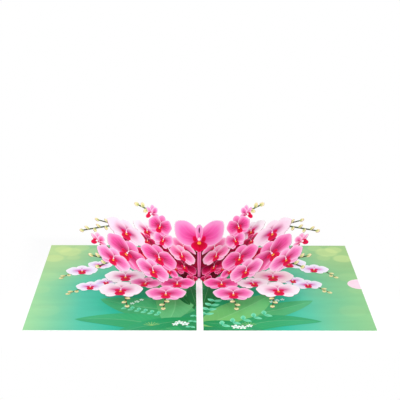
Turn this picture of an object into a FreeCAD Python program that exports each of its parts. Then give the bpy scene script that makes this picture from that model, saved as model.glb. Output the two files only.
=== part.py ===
import FreeCAD, Part
import math
import os

# An orchid pop-up card, lying open on a table.
# X runs across the open card, the spine lies along Y with the near edge at -Y, +Z is up.
# The origin is on the table, under the middle of the spine.

V = FreeCAD.Vector

SIZES = {
    # The folded cover and the two printed pages glued inside it
    "page_width": 149.6,
    "page_depth": 200.0,
    "spine_gap": 5.8,
    "cover_border": 0.8,
    "cover_thick": 0.4,
    "score_width": 0.6,
    "score_depth": 0.15,
    "page_thick": 0.3,
    "tape_thick": 0.45,
    "tape_width": 7.0,
    "tape_inset": 1.5,
    # The slip-in note card, its play in the pocket and the pocket's thumb notch
    "note_play_across": 5.1,
    "note_play_along": 1.5,
    "note_thick": 0.35,
    "notch_radius": 11.5,
    # Die-cut sheets of the pop-up, and how high their flowers are drawn for their width
    "sheet_thick": 0.3,
    "wing_flower_height": 0.86,
    "low_flower_height": 1.08,
    "upright_flower_height": 1.0,
    "apex_back": 16.0,
    "wing_rise": 37.7,
    "wing_lean": 18.3,
    "foot_length": 17.0,
    "foot_width": 6.0,
    "stem_width": 1.2,
    "bud_length": 4.6,
    "bud_spread": 48.0,
    "arm_width": 12.0,
    "crossing_width": 9.0,
    "branch_width": 6.0,
    # Layers carried above and below the wings
    "front_lift": 4.0,
    "back_drop": 5.0,
    "spacer_width": 7.0,
    "spacer_length": 12.0,
    # The upright sprays, folded up from the wings
    "upright_out": 46.0,
    "upright_along": 5.0,
    "upright_turn": 7.6,
    "upright_fold": 37.4,
    "upright_foot": 12.0,
    "upright_root": 9.0,
    "tab_width": 5.0,
    "fold_lap": 0.05,
    # The low sprays, level above the pages on folded legs
    "low_height": 9.0,
    "leg_width": 6.0,
    "leg_length": 12.0,
    # The orchid at the centre
    "centre_lean": 6.0,
    "centre_open": 25.0,
    "centre_height": 39.0,
    "centre_span": 27.0,
    "centre_stem": 2.8,
}

doc = FreeCAD.newDocument("orchid_card")
sheet = doc.addObject("Spreadsheet::Sheet", "Sizes")
for row, (alias, value) in enumerate(SIZES.items(), start=1):
    sheet.set("A%d" % row, alias)
    sheet.set("B%d" % row, str(value))
    sheet.setAlias("B%d" % row, alias)
doc.recompute()


def size(alias):
    return float(sheet.get(alias))


def bind(thing, **links):
    for prop, formula in links.items():
        thing.setExpression(prop, formula)


parts = []
page_top = size("cover_thick") + size("tape_thick") + size("page_thick")
thick = size("sheet_thick")
note_width = "(Sizes.page_width - Sizes.tape_inset - Sizes.tape_width - Sizes.note_play_across)"
note_depth = "(Sizes.page_depth - 2 * (Sizes.tape_inset + Sizes.tape_width + Sizes.note_play_along))"


def keep(thing, name):
    thing.Label = name
    parts.append(thing)
    return thing


# Sketches and bodies

def new_body(name):
    body = doc.addObject("PartDesign::Body", name)
    body.Label = name
    return body


def plane_of(body, role):
    return [feature for feature in body.Origin.OriginFeatures if feature.Role == role][0]


def new_sketch(body, name, role="XY_Plane", offset=None):
    sketch = body.newObject("Sketcher::SketchObject", name)
    sketch.AttachmentSupport = [(plane_of(body, role), "")]
    sketch.MapMode = "FlatFace"
    if offset is not None:
        sketch.AttachmentOffset = offset
    return sketch


def draw(sketch, start, steps):
    """Closed outline: each step is an end point, or a point on an arc and its end point."""
    here = V(*start, 0)
    for step in steps:
        if len(step) == 2:
            there = V(*step, 0)
            sketch.addGeometry(Part.LineSegment(here, there))
        else:
            there = V(step[2], step[3], 0)
            sketch.addGeometry(Part.Arc(here, V(step[0], step[1], 0), there))
        here = there


def pad(body, sketch, formula):
    feature = body.newObject("PartDesign::Pad", sketch.Name + "_Pad")
    feature.Profile = sketch
    bind(feature, Length=formula)
    sketch.Visibility = False
    return feature


def rectangle(body, name, x0, x1, y0, y1, role="XY_Plane", offset=None):
    sketch = new_sketch(body, name, role, offset)
    draw(sketch, (x0, y0), [(x1, y0), (x1, y1), (x0, y1), (x0, y0)])
    return sketch


def bound_box(name, x, y, z, length, width, height):
    box = doc.addObject("Part::Box", name)
    bind(box, Length=length, Width=width, Height=height)
    bind(box, **{"Placement.Base.x": x, "Placement.Base.y": y, "Placement.Base.z": z})
    return box


# The folded cover, scored along its spine on the inside

def make_cover():
    full_width = "2 * Sizes.page_width + Sizes.spine_gap + 2 * Sizes.cover_border"
    full_depth = "Sizes.page_depth + 2 * Sizes.cover_border"
    card = bound_box("CoverSheet", "-(%s) / 2" % full_width, "-(%s) / 2" % full_depth, "0",
                     full_width, full_depth, "Sizes.cover_thick")
    grooves = []
    for side in (-1, 0, 1):
        centre = "%d * Sizes.spine_gap / 2" % side
        groove = bound_box("Score", "%s - Sizes.score_width / 2" % centre, "-(%s) / 2" % full_depth,
                           "Sizes.cover_thick - Sizes.score_depth",
                           "Sizes.score_width", full_depth, "Sizes.score_depth")
        grooves.append(groove)
    scores = doc.addObject("Part::MultiFuse", "Scores")
    scores.Shapes = grooves
    cover = doc.addObject("Part::Cut", "cover")
    cover.Base = card
    cover.Tool = scores
    return keep(cover, "cover")


# Double-sided tape, the printed pages and the note card in the pocket

def make_tape(side, name):
    """Four strips round the left page. Three under the pocket page, open at its outer edge."""
    inner = size("spine_gap") / 2 + size("tape_inset")
    outer = size("spine_gap") / 2 + size("page_width") - size("tape_inset")
    half = size("page_depth") / 2 - size("tape_inset")
    width = size("tape_width")
    body = new_body(name)
    sketch = new_sketch(body, name + "_Sketch")
    loop = [(outer, -half), (outer, width - half), (inner + width, width - half),
            (inner + width, half - width), (outer, half - width), (outer, half), (inner, half),
            (inner, -half)]
    if side < 0:
        loop = [(inner, half), (outer, half), (outer, -half), (inner, -half)]
    draw(sketch, (side * inner, -half), [(side * x, y) for x, y in loop])
    if side < 0:
        hole = [(inner + width, half - width), (outer - width, half - width),
                (outer - width, width - half), (inner + width, width - half)]
        draw(sketch, (side * (inner + width), width - half), [(side * x, y) for x, y in hole])
    pad(body, sketch, "Sizes.tape_thick")
    bind(body, **{"Placement.Base.z": "Sizes.cover_thick"})
    return keep(body, name)


def make_page_left():
    page = bound_box("page_left", "-Sizes.spine_gap / 2 - Sizes.page_width", "-Sizes.page_depth / 2",
                     "Sizes.cover_thick + Sizes.tape_thick",
                     "Sizes.page_width", "Sizes.page_depth", "Sizes.page_thick")
    return keep(page, "page_left")


def make_page_right():
    page = bound_box("PocketSheet", "Sizes.spine_gap / 2", "-Sizes.page_depth / 2",
                     "Sizes.cover_thick + Sizes.tape_thick",
                     "Sizes.page_width", "Sizes.page_depth", "Sizes.page_thick")
    notch = doc.addObject("Part::Cylinder", "ThumbNotch")
    bind(notch, Radius="Sizes.notch_radius", Height="Sizes.page_thick")
    bind(notch, **{"Placement.Base.x": "Sizes.spine_gap / 2 + Sizes.page_width",
                   "Placement.Base.z": "Sizes.cover_thick + Sizes.tape_thick"})
    cut = doc.addObject("Part::Cut", "page_right")
    cut.Base = page
    cut.Tool = notch
    return keep(cut, "page_right")


def make_note_card():
    """It lies flush with the open edge of the pocket, clear of the tape on the other three."""
    note = bound_box("note_card", "Sizes.spine_gap / 2 + Sizes.page_width - " + note_width,
                     "-%s / 2" % note_depth, "Sizes.cover_thick",
                     note_width, note_depth, "Sizes.note_thick")
    return keep(note, "note_card")


# Outlines of orchids, buds and stems, in a sheet's own plane

def turned(point, radius, turn, centre, side):
    """A point of the unit flower, sized, turned, placed, and mirrored for the other side."""
    angle = math.radians(turn)
    x = radius * (point[0] * math.cos(angle) - point[1] * math.sin(angle)) + centre[0]
    y = radius * (point[0] * math.sin(angle) + point[1] * math.cos(angle)) + centre[1]
    return (x if side < 0 else -x, y)


NOTCH = (-0.33, 0.61)
DORSAL = [(-0.32, 0.78), (0.0, 0.99)]
PETAL = [(-0.52, 0.70), (-0.88, 0.52), (-1.0, 0.10), (-0.88, -0.30)]
SEPAL = [(-0.66, -0.42), (-0.68, -0.52), (-0.57, -0.69), (-0.33, -0.70), (-0.10, -0.54)]


def flip(point):
    return (-point[0], point[1])


def orchid_steps():
    """Unit orchid: dorsal sepal up, two broad petals, two lower sepals with the lip between."""
    left = [NOTCH, PETAL[0], PETAL[1] + PETAL[2], PETAL[3], SEPAL[0], SEPAL[1],
            SEPAL[2] + SEPAL[3], SEPAL[4]]
    right = [flip(SEPAL[4]), flip(SEPAL[3]), flip(SEPAL[2]) + flip(SEPAL[1]), flip(SEPAL[0]),
             flip(PETAL[3]), flip(PETAL[2]), flip(PETAL[1]) + flip(PETAL[0]), flip(NOTCH),
             flip(DORSAL[0])]
    return flip(DORSAL[0]), [DORSAL[1] + DORSAL[0]] + left + right


def profile_steps():
    """Unit orchid seen from the side: petals swept up, the lip thrust out to the left."""
    return (0.35, 0.95), [(0.0, 1.0), (-0.25, 0.25), (-0.60, 0.30), (-0.82, 0.0, -0.55, -0.25),
                          (-0.15, -0.10), (0.10, -0.50), (0.60, -0.35), (0.75, 0.35, 0.35, 0.95)]


def placed_steps(unit, radius, turn, centre, side):
    start, steps = unit
    moved = []
    for step in steps:
        ends = [turned(step[i:i + 2], radius, turn, centre, side) for i in range(0, len(step), 2)]
        moved.append(sum(ends, ()))
    return turned(start, radius, turn, centre, side), moved


def stretched(unit, height):
    """The unit flower drawn higher or lower for the same width."""
    start, steps = unit
    scaled = [tuple(value * height if i % 2 else value for i, value in enumerate(step))
              for step in steps]
    return (start[0], start[1] * height), scaled


def add_flower(body, name, unit, centre, radius, turn, side):
    sketch = new_sketch(body, name)
    start, steps = placed_steps(unit, radius, turn, centre, side)
    draw(sketch, start, steps)
    return pad(body, sketch, "Sizes.sheet_thick")


def add_strip(body, name, start, end, width, side):
    """A straight stem or arm of the sheet, from one point to another."""
    along = V(end[0] - start[0], end[1] - start[1], 0)
    length = along.Length
    turn = math.degrees(math.atan2(along.y, along.x))
    loop = [(0, -width / 2), (length, -width / 2), (length, width / 2), (0, width / 2)]
    points = [turned(point, 1.0, turn, start, side) for point in loop]
    sketch = new_sketch(body, name)
    draw(sketch, points[0], points[1:] + points[:1])
    return pad(body, sketch, "Sizes.sheet_thick")


def bud_steps():
    return (0.0, 0.0), [(0.3, -0.27), (0.75, -0.22), (1.0, 0.0), (0.75, 0.22), (0.3, 0.27),
                        (0.0, 0.0)]


def add_sprig(body, name, start, end, buds, side):
    """A thin stem with pointed buds, one at its end and the others to either side."""
    stem = size("stem_width")
    add_strip(body, name + "_Stem", start, end, stem, side)
    turn = math.atan2(end[1] - start[1], end[0] - start[0])
    back = stem / 4
    for number in range(buds):
        share = 1.0 - number / buds
        spread = size("bud_spread") * (-1) ** number if number else 0.0
        foot = (start[0] + (end[0] - start[0]) * share - back * math.cos(turn),
                start[1] + (end[1] - start[1]) * share - back * math.sin(turn))
        first, steps = placed_steps(bud_steps(), size("bud_length"), math.degrees(turn) + spread,
                                    foot, side)
        sketch = new_sketch(body, "%s_Bud%d" % (name, number))
        draw(sketch, first, steps)
        pad(body, sketch, "Sizes.sheet_thick")


def add_spray(body, name, flowers, sprigs, strips, height, side):
    for number, (start, end, width) in enumerate(strips):
        add_strip(body, "%s_Strip%d" % (name, number), start, end, width, side)
    for number, (centre, radius, turn, kind) in enumerate(flowers):
        unit = stretched(profile_steps() if kind == "side" else orchid_steps(), height)
        add_flower(body, "%s_Flower%d" % (name, number), unit, centre, radius, turn, side)
    for number, (start, end, buds) in enumerate(sprigs):
        add_sprig(body, "%s_Sprig%d" % (name, number), start, end, buds, side)


# Frames of the tilted sheets

def wing_place(side, lift=0.0):
    """The wing plane: it rises outwards and leans to the back from the apex on the spine."""
    rise = FreeCAD.Rotation(V(0, 1, 0), -side * size("wing_rise"))
    lean = FreeCAD.Rotation(V(1, 0, 0), size("wing_lean"))
    turn = lean.multiply(rise)
    apex = V(0, size("apex_back"), page_top)
    return FreeCAD.Placement(apex + turn.multVec(V(0, 0, lift)), turn)


def upright_place(side):
    fold = FreeCAD.Placement(V(side * size("upright_out"), size("upright_along"), 0),
                             FreeCAD.Rotation(V(0, 0, 1), side * size("upright_turn"))
                             .multiply(FreeCAD.Rotation(V(1, 0, 0), size("upright_fold"))))
    return wing_place(side, thick).multiply(fold)


def fold_slope():
    """How far the wing's foot line moves outwards for each unit towards the near edge."""
    rise = math.radians(size("wing_rise"))
    lean = math.radians(size("wing_lean"))
    return math.sin(lean) / math.tan(rise)


# Flowers of each sheet: centre from the apex, radius, turn in degrees, and how it is seen.
# The left side is written out, with outwards as -X of the sheet. The right side mirrors it.

WING_FLOWERS = [
    ((-84.2, -26.0), 22.9, -21, "front"),
    ((-98.2, -44.0), 16.9, -4, "front"),
    ((-115.0, -31.5), 13.0, 45, "side"),
    ((-19.8, 29.3), 14.4, 1, "front"),
    ((-18.3, 2.0), 13.0, 13, "front"),
]
FRONT_FLOWERS = [
    ((-51.0, -12.0), 19.6, 10, "front"),
    ((-57.3, -35.1), 17.5, 12, "front"),
    ((-24.5, 10.6), 14.8, 10, "front"),
    ((-38.5, -22.0), 9.5, -9, "front"),
]
BACK_FLOWERS = [
    ((-83.5, 9.5), 20.5, 1, "front"),
    ((-60.0, 30.0), 15.5, 2, "front"),
    ((-59.3, 15.5), 11.0, -2, "front"),
]
# The plain root of each creased layer, reaching just past the crease, where it is trimmed
FRONT_ROOT = [(0.0, 6.0), (0.0, 24.0), (-20.0, 24.0), (-16.0, 4.0)]
BACK_ROOT = [(6.0, 22.0), (6.0, 38.0), (-25.0, 44.0), (-45.0, 36.0), (-50.0, 14.0), (-35.0, 8.0),
             (-12.0, 16.0)]
UPRIGHT_FLOWERS = [
    ((-4.0, 10.2), 10.0, 8, "front"),
    ((-13.5, 19.5), 11.5, 13, "front"),
    ((-26.0, 25.5), 9.5, 60, "side"),
]
LOW_FLOWERS = [
    ((-69.5, -4.5), 18.0, 3, "front"),
    ((-50.0, -20.5), 13.5, -12, "front"),
    ((-72.0, -37.0), 18.7, -2, "front"),
    ((-30.6, -44.8), 17.1, 0, "front"),
    ((-20.6, -21.0), 15.6, 0, "front"),
]

# Sprigs: start, tip and number of buds
WING_SPRIGS = [((-99.0, -46.0), (-119.0, -54.0), 3), ((-99.0, -47.0), (-112.0, -63.0), 2)]
BACK_SPRIGS = [((-100.0, 8.0), (-129.0, -21.0), 5), ((-94.0, 13.0), (-114.0, 5.0), 2)]
UPRIGHT_SPRIGS = [((-27.0, 27.5), (-43.0, 25.5), 3)]
LOW_SPRIGS = [((-68.0, -44.0), (-64.5, -68.0), 3), ((-30.6, -51.0), (-32.0, -73.0), 3)]

# Strips of the sheets that run on behind the flowers: start, end and width
WING_ARMS = [((-44.0, -4.0), (-84.0, -26.0), size("arm_width")),
             ((-100.0, -36.0), (-113.0, -32.0), size("branch_width"))]
FRONT_ARMS = [((-51.0, -12.0), (-24.5, 10.6), size("crossing_width"))]
BACK_ARMS = [((-84.0, 6.0), (-84.0, -24.0), size("arm_width"))]
LOW_ARMS = [(LOW_FLOWERS[start][0], LOW_FLOWERS[end][0], size("branch_width"))
            for start, end in ((0, 1), (1, 2), (1, 4), (4, 3))]

# Where the folded supports stand: on the wing's plane, and on the page
FRONT_SPACER = (-50.0, -10.0)
BACK_SPACER = (-87.0, -16.0)
LOW_LEGS = {"inner": (-31.0, -31.0), "outer": (-70.0, -22.0)}


def block(name, place, x0, y0, z0, length, width, height):
    box = doc.addObject("Part::Box", name)
    box.Length = length
    box.Width = width
    box.Height = height
    box.Placement = place.multiply(FreeCAD.Placement(V(x0, y0, z0), FreeCAD.Rotation()))
    return box


def half_space():
    """Everything left of the spine and above the pages, far beyond the sheets."""
    reach = size("page_width") + size("spine_gap")
    return block("LeftAbovePages", FreeCAD.Placement(), -reach, -reach, page_top,
                 reach, 2 * reach, reach)


def mirrored_pair(name, half):
    """The other half across the spine, joined to the first along the crease."""
    other = doc.addObject("Part::Mirroring", name + "_OtherHalf")
    other.Source = half
    other.Base = V(0, 0, 0)
    other.Normal = V(1, 0, 0)
    pair = doc.addObject("Part::MultiFuse", name)
    pair.Shapes = [half, other]
    pair.Refine = True
    return keep(pair, name)


def make_wings():
    """One sheet, creased on the spine: root panels, arms and flowers, with a foot on each page."""
    body = new_body("WingHalf")
    body.Placement = wing_place(-1)
    foot = size("foot_length")
    root = new_sketch(body, "WingRoot")
    draw(root, (2.0, -4.0), [(2.0, 34.0), (-8.0, 39.0), (-28.0, 32.0, -46.0, 20.0),
                             (-54.0, 10.0, -56.0, -2.0), (-46.0, -9.0, -34.0, -11.0),
                             (-12.0, -12.0), (-9.0, -foot), (-2.0, -foot), (2.0, -4.0)])
    pad(body, root, "Sizes.sheet_thick")
    add_spray(body, "Wing", WING_FLOWERS, WING_SPRIGS, WING_ARMS, size("wing_flower_height"), -1)
    doc.recompute()
    half = doc.addObject("Part::Common", "WingTrimmed")
    half.Base = body
    half.Tool = half_space()
    flap = new_body("WingFlap")
    near = size("apex_back") - foot
    far = size("apex_back") - size("spine_gap") / 2 / fold_slope()
    sketch = new_sketch(flap, "WingFlapSketch")
    draw(sketch, (-fold_slope() * (size("apex_back") - far), far),
         [(-fold_slope() * (size("apex_back") - near), near),
          (-fold_slope() * (size("apex_back") - near) - size("foot_width"), near),
          (-fold_slope() * (size("apex_back") - far) - size("foot_width"), far),
          (-fold_slope() * (size("apex_back") - far), far)])
    pad(flap, sketch, "Sizes.sheet_thick")
    flap.Placement = FreeCAD.Placement(V(0, 0, page_top), FreeCAD.Rotation())
    joined = doc.addObject("Part::MultiFuse", "WingWithFlap")
    joined.Shapes = [half, flap]
    joined.Refine = True
    return mirrored_pair("wings", joined)


def make_centre_orchid():
    """The folded orchid over the spine: two petals, the lip and a folded stem."""
    body = new_body("CentreHalf")
    lean = FreeCAD.Rotation(V(1, 0, 0), 90 - size("centre_lean"))
    opened = FreeCAD.Rotation(V(0, 1, 0), size("centre_open"))
    body.Placement = FreeCAD.Placement(V(0, size("apex_back"), page_top), lean.multiply(opened))
    high = size("centre_height")
    span = size("centre_span")
    sketch = new_sketch(body, "CentreOutline")
    half_stem = size("centre_stem") / 2
    draw(sketch, (0.5, 0.0), [
        (0.5, 0.41 * span + high), (-0.17 * span, 0.44 * span + high),
        (-0.52 * span, 0.68 * span + high, -0.82 * span, 0.66 * span + high),
        (-0.94 * span, 0.46 * span + high, -0.87 * span, 0.18 * span + high),
        (-0.68 * span, -0.09 * span + high, -0.38 * span, -0.15 * span + high),
        (-0.31 * span, -0.34 * span + high, -0.06 * span, -0.50 * span + high),
        (-1.4 * half_stem, 0.45 * high), (-half_stem, 0.0), (0.5, 0.0)])
    pad(body, sketch, "Sizes.sheet_thick")
    tab = new_body("CentreTab")
    tab.Placement = wing_place(-1, thick)
    loop = new_sketch(tab, "CentreTabSketch")
    draw(loop, (1.0, -1.0), [(1.0, 14.0), (-5.0, 14.0), (-5.0, 1.0), (-1.6, -1.0), (1.0, -1.0)])
    pad(tab, loop, "Sizes.sheet_thick")
    doc.recompute()
    both = doc.addObject("Part::MultiFuse", "CentreWithTab")
    both.Shapes = [body, tab]
    clear = doc.addObject("Part::Cut", "CentreClear")
    clear.Base = both
    clear.Tool = block("UnderWing", wing_place(-1), -60, -60, -60, 120, 120, 60 + thick)
    half = doc.addObject("Part::Common", "CentreTrimmed")
    half.Base = clear
    half.Tool = half_space()
    return mirrored_pair("centre_orchid", half)


def make_layer(name, lift, root, flowers, sprigs, arms):
    """A spray sheet parallel to the wings and creased on the spine as they are."""
    body = new_body(name + "_Half")
    body.Placement = wing_place(-1, lift)
    sketch = new_sketch(body, name + "_Root")
    draw(sketch, root[0], root[1:] + root[:1])
    pad(body, sketch, "Sizes.sheet_thick")
    add_spray(body, name, flowers, sprigs, arms, size("wing_flower_height"), -1)
    doc.recompute()
    half = doc.addObject("Part::Common", name + "_Trimmed")
    half.Base = body
    half.Tool = half_space()
    return mirrored_pair(name, half)


def make_upright(side, name):
    body = new_body(name)
    body.Placement = upright_place(side)
    foot = size("upright_foot")
    root = [((0.0, 0.0), (0.0, size("upright_root")), foot)]
    add_spray(body, name, UPRIGHT_FLOWERS, UPRIGHT_SPRIGS, root, size("upright_flower_height"), side)
    tab = rectangle(body, name + "_TabSketch", -foot / 2, foot / 2, -size("tab_width"), size("fold_lap"),
                    offset=FreeCAD.Placement(V(0, 0, 0),
                                             FreeCAD.Rotation(V(1, 0, 0), -size("upright_fold"))))
    pad(body, tab, "Sizes.sheet_thick")
    return keep(body, name)


def folded_strip(name, place, height, flange, length, side):
    """A paper strip folded to a C: lower flange, riser and upper flange."""
    body = new_body(name)
    body.Placement = place
    sketch = new_sketch(body, name + "_Profile", "XZ_Plane")
    loop = [(flange, 0), (flange, thick), (thick, thick), (thick, height - thick),
            (flange, height - thick), (flange, height), (0, height), (0, 0)]
    draw(sketch, (0, 0), [(-side * x, y) for x, y in loop])
    feature = pad(body, sketch, "%.3f mm" % length)
    feature.Midplane = True
    return keep(body, name)


def make_side(side):
    end = "left" if side < 0 else "right"
    front_lift = size("front_lift")
    back_drop = size("back_drop")
    make_upright(side, "upright_spray_" + end)
    low = new_body("low_spray_" + end)
    low.Placement = FreeCAD.Placement(V(0, 0, page_top + size("low_height")), FreeCAD.Rotation())
    add_spray(low, "Low_" + end, LOW_FLOWERS, LOW_SPRIGS, LOW_ARMS, size("low_flower_height"), side)
    keep(low, "low_spray_" + end)
    spacer = size("spacer_width")
    length = size("spacer_length")

    def on_wing(u, v, lift):
        return wing_place(side, lift).multiply(FreeCAD.Placement(V(-side * u, v, 0), FreeCAD.Rotation()))

    folded_strip("front_spacer_" + end, on_wing(*FRONT_SPACER, thick), front_lift - thick,
                 spacer, length, side)
    folded_strip("back_spacer_" + end, on_wing(*BACK_SPACER, thick - back_drop),
                 back_drop - thick, spacer, length, side)
    for label, (x, y) in LOW_LEGS.items():
        place = FreeCAD.Placement(V(-side * x, y, page_top), FreeCAD.Rotation())
        folded_strip("low_leg_%s_%s" % (label, end), place, size("low_height"),
                     size("leg_width"), size("leg_length"), side)


make_cover()
make_tape(-1, "tape_left")
make_tape(1, "tape_right")
make_page_left()
make_page_right()
make_note_card()
make_wings()
make_layer("front_spray", size("front_lift"), FRONT_ROOT, FRONT_FLOWERS, [], FRONT_ARMS)
make_layer("back_spray", -size("back_drop"), BACK_ROOT, BACK_FLOWERS, BACK_SPRIGS, BACK_ARMS)
make_centre_orchid()
for hand in (-1, 1):
    make_side(hand)
doc.recompute()

failed = [thing.Name for thing in doc.Objects if "Invalid" in thing.State or "Error" in thing.State]
if failed:
    raise RuntimeError("failed: " + ", ".join(failed))
os.makedirs("parts", exist_ok=True)
for part in parts:
    if part.Shape.isNull() or not part.Shape.isValid():
        raise RuntimeError("bad shape: " + part.Label)
    part.Shape.exportStep("parts/%s.step" % part.Label)
    print(part.Label, "solids", len(part.Shape.Solids), "volume", round(part.Shape.Volume, 2))
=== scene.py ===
import bmesh
import bpy
from math import atan2, cos, degrees, exp, pi, radians, sin
from mathutils import Matrix, Vector


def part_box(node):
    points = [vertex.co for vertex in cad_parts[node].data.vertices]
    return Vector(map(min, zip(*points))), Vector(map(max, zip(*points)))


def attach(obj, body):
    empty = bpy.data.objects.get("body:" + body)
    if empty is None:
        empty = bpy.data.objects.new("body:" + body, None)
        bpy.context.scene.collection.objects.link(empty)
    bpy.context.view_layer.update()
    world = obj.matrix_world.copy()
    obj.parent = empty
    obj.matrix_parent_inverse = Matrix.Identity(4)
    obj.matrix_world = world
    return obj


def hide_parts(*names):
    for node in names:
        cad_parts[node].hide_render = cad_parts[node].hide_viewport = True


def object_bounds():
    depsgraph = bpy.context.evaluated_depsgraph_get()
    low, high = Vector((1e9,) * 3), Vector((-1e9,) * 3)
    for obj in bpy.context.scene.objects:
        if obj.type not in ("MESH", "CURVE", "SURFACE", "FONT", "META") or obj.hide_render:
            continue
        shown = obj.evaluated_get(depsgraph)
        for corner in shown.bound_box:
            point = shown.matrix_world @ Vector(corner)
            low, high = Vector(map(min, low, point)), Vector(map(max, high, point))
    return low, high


# An open orchid pop-up card: die-cut sheets of printed flowers over two printed pages.
# Lengths in the dictionaries are millimetres, and each finished mesh is scaled to metres.

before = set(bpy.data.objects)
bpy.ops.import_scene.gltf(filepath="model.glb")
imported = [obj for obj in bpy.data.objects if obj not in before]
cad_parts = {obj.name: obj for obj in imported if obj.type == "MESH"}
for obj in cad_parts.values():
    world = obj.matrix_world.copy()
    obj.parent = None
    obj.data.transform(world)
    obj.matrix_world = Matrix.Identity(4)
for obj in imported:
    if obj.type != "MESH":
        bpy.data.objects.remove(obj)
cadBox = [list(corner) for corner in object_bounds()]
mm = 0.001
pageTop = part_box("page_left")[1].z / mm
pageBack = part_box("page_left")[1].y / mm
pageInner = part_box("page_right")[0].x / mm
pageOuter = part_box("page_right")[1].x / mm
print("frame loaded, page top at", round(pageTop, 3), "mm")


# Inks and nodes

def ink(red, green, blue):  # a screen colour, 0 to 255, as the linear colour that nodes take
    def linear(level):
        share = level / 255
        return share / 12.92 if share <= 0.04045 else ((share + 0.055) / 1.055) ** 2.4
    return (linear(red), linear(green), linear(blue), 1.0)


def addNode(tree, kind, inputs=None, **settings):
    node = tree.nodes.new(kind)
    for key, value in settings.items():
        setattr(node, key, value)
    for key, value in (inputs or {}).items():
        if isinstance(value, bpy.types.NodeSocket):
            tree.links.new(value, node.inputs[key])
        else:
            node.inputs[key].default_value = value
    return node


def calc(tree, operation, first, second=0.0):
    return addNode(tree, "ShaderNodeMath", {0: first, 1: second}, operation=operation).outputs[0]


def ease(tree, value, low, high, toLow=0.0, toHigh=1.0):
    sockets = {"Value": value, "From Min": low, "From Max": high, "To Min": toLow, "To Max": toHigh}
    return addNode(tree, "ShaderNodeMapRange", sockets, interpolation_type="SMOOTHSTEP").outputs[0]


def mixInk(tree, share, first, second, blend="MIX"):
    node = addNode(tree, "ShaderNodeMix", {0: share, 6: first, 7: second},
                   data_type="RGBA", blend_type=blend)
    return node.outputs[2]


def colourRamp(tree, value, stops):
    ramp = addNode(tree, "ShaderNodeValToRGB", {"Fac": value})
    while len(ramp.color_ramp.elements) < len(stops):
        ramp.color_ramp.elements.new(0.5)
    for element, (position, colour) in zip(ramp.color_ramp.elements, stops):
        element.position = position
        element.color = ink(*colour)
    return ramp.outputs["Color"]


def startGroup(name, inputs, outputs):
    group = bpy.data.node_groups.new(name, "ShaderNodeTree")
    for label, kind in inputs:
        group.interface.new_socket(label, in_out="INPUT", socket_type="NodeSocket" + kind)
    for label, kind in outputs:
        group.interface.new_socket(label, in_out="OUTPUT", socket_type="NodeSocket" + kind)
    return group, group.nodes.new("NodeGroupInput"), group.nodes.new("NodeGroupOutput")


def paperGrainGroup():  # soft mottling of printed card and the fibres of its surface
    group, _, result = startGroup("paperGrain", [], [("Mottle", "Float"), ("Height", "Float")])
    place = addNode(group, "ShaderNodeTexCoord").outputs["Object"]
    cloud = addNode(group, "ShaderNodeTexNoise", {"Vector": place, "Scale": 90.0, "Detail": 3.0})
    fibre = addNode(group, "ShaderNodeTexNoise", {"Vector": place, "Scale": 2600.0, "Detail": 2.0})
    group.links.new(cloud.outputs["Fac"], result.inputs["Mottle"])
    group.links.new(fibre.outputs["Fac"], result.inputs["Height"])
    return group


def petalPrintGroup():  # a petal: deep at its heart, paler outwards, veined, with a thin cut border
    colours = ("Heart", "Body", "Edge", "Rim", "Streak")
    numbers = ("PaleFrom", "StreakWidth", "Veins", "RimFrom")
    group, given, result = startGroup(
        "petalPrint", [(label, "Color") for label in colours] + [(label, "Float") for label in numbers],
        [("Colour", "Color"), ("Height", "Float")])
    spot = addNode(group, "ShaderNodeSeparateXYZ",
                   {0: addNode(group, "ShaderNodeUVMap", uv_map="petal").outputs[0]})
    along = calc(group, "MULTIPLY", calc(group, "ADD", spot.outputs["X"], 1.0), 0.5)
    across = spot.outputs["Y"]
    outwards = addNode(group, "ShaderNodeAttribute", attribute_name="edge").outputs["Fac"]
    tone = addNode(group, "ShaderNodeAttribute", attribute_name="tone").outputs["Fac"]
    fan = calc(group, "ARCTAN2", across, calc(group, "ADD", calc(group, "MULTIPLY", along, 2.0), 0.25))
    grain = addNode(group, "ShaderNodeGroup", node_tree=paperGrain)

    pale = ease(group, outwards, given.outputs["PaleFrom"], 1.0)
    colour = mixInk(group, pale, given.outputs["Body"], given.outputs["Edge"])
    colour = mixInk(group, calc(group, "MULTIPLY", tone, 0.75), colour, given.outputs["Edge"])
    heart = ease(group, along, 0.74, 0.10)
    narrow = ease(group, calc(group, "ABSOLUTE", across), 1.0, 0.1)
    colour = mixInk(group, calc(group, "MULTIPLY", heart, narrow), colour, given.outputs["Heart"])
    band = ease(group, calc(group, "ABSOLUTE", fan), given.outputs["StreakWidth"], 0.0)
    colour = mixInk(group, calc(group, "MULTIPLY", band, ease(group, along, 0.72, 0.12)),
                    colour, given.outputs["Streak"])
    wave = calc(group, "ABSOLUTE", calc(group, "SINE", calc(group, "MULTIPLY", fan, 15.0)))
    vein = calc(group, "MULTIPLY", ease(group, wave, 0.34, 0.0), ease(group, along, 0.1, 0.45))
    vein = calc(group, "MULTIPLY", calc(group, "MULTIPLY", vein, ease(group, outwards, 0.95, 0.55)),
                given.outputs["Veins"])
    colour = mixInk(group, vein, colour, given.outputs["Edge"])
    mottle = calc(group, "ADD", calc(group, "MULTIPLY", grain.outputs["Mottle"], 0.16), 0.92)
    colour = mixInk(group, 1.0, colour, mottle, "MULTIPLY")
    rimFrom = given.outputs["RimFrom"]
    rim = ease(group, outwards, rimFrom, calc(group, "ADD", rimFrom, 0.025))
    colour = mixInk(group, rim, colour, given.outputs["Rim"])
    group.links.new(colour, result.inputs["Colour"])
    group.links.new(calc(group, "ADD", grain.outputs["Height"], vein), result.inputs["Height"])
    return group


paperGrain = paperGrainGroup()
petalPrint = petalPrintGroup()


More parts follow.
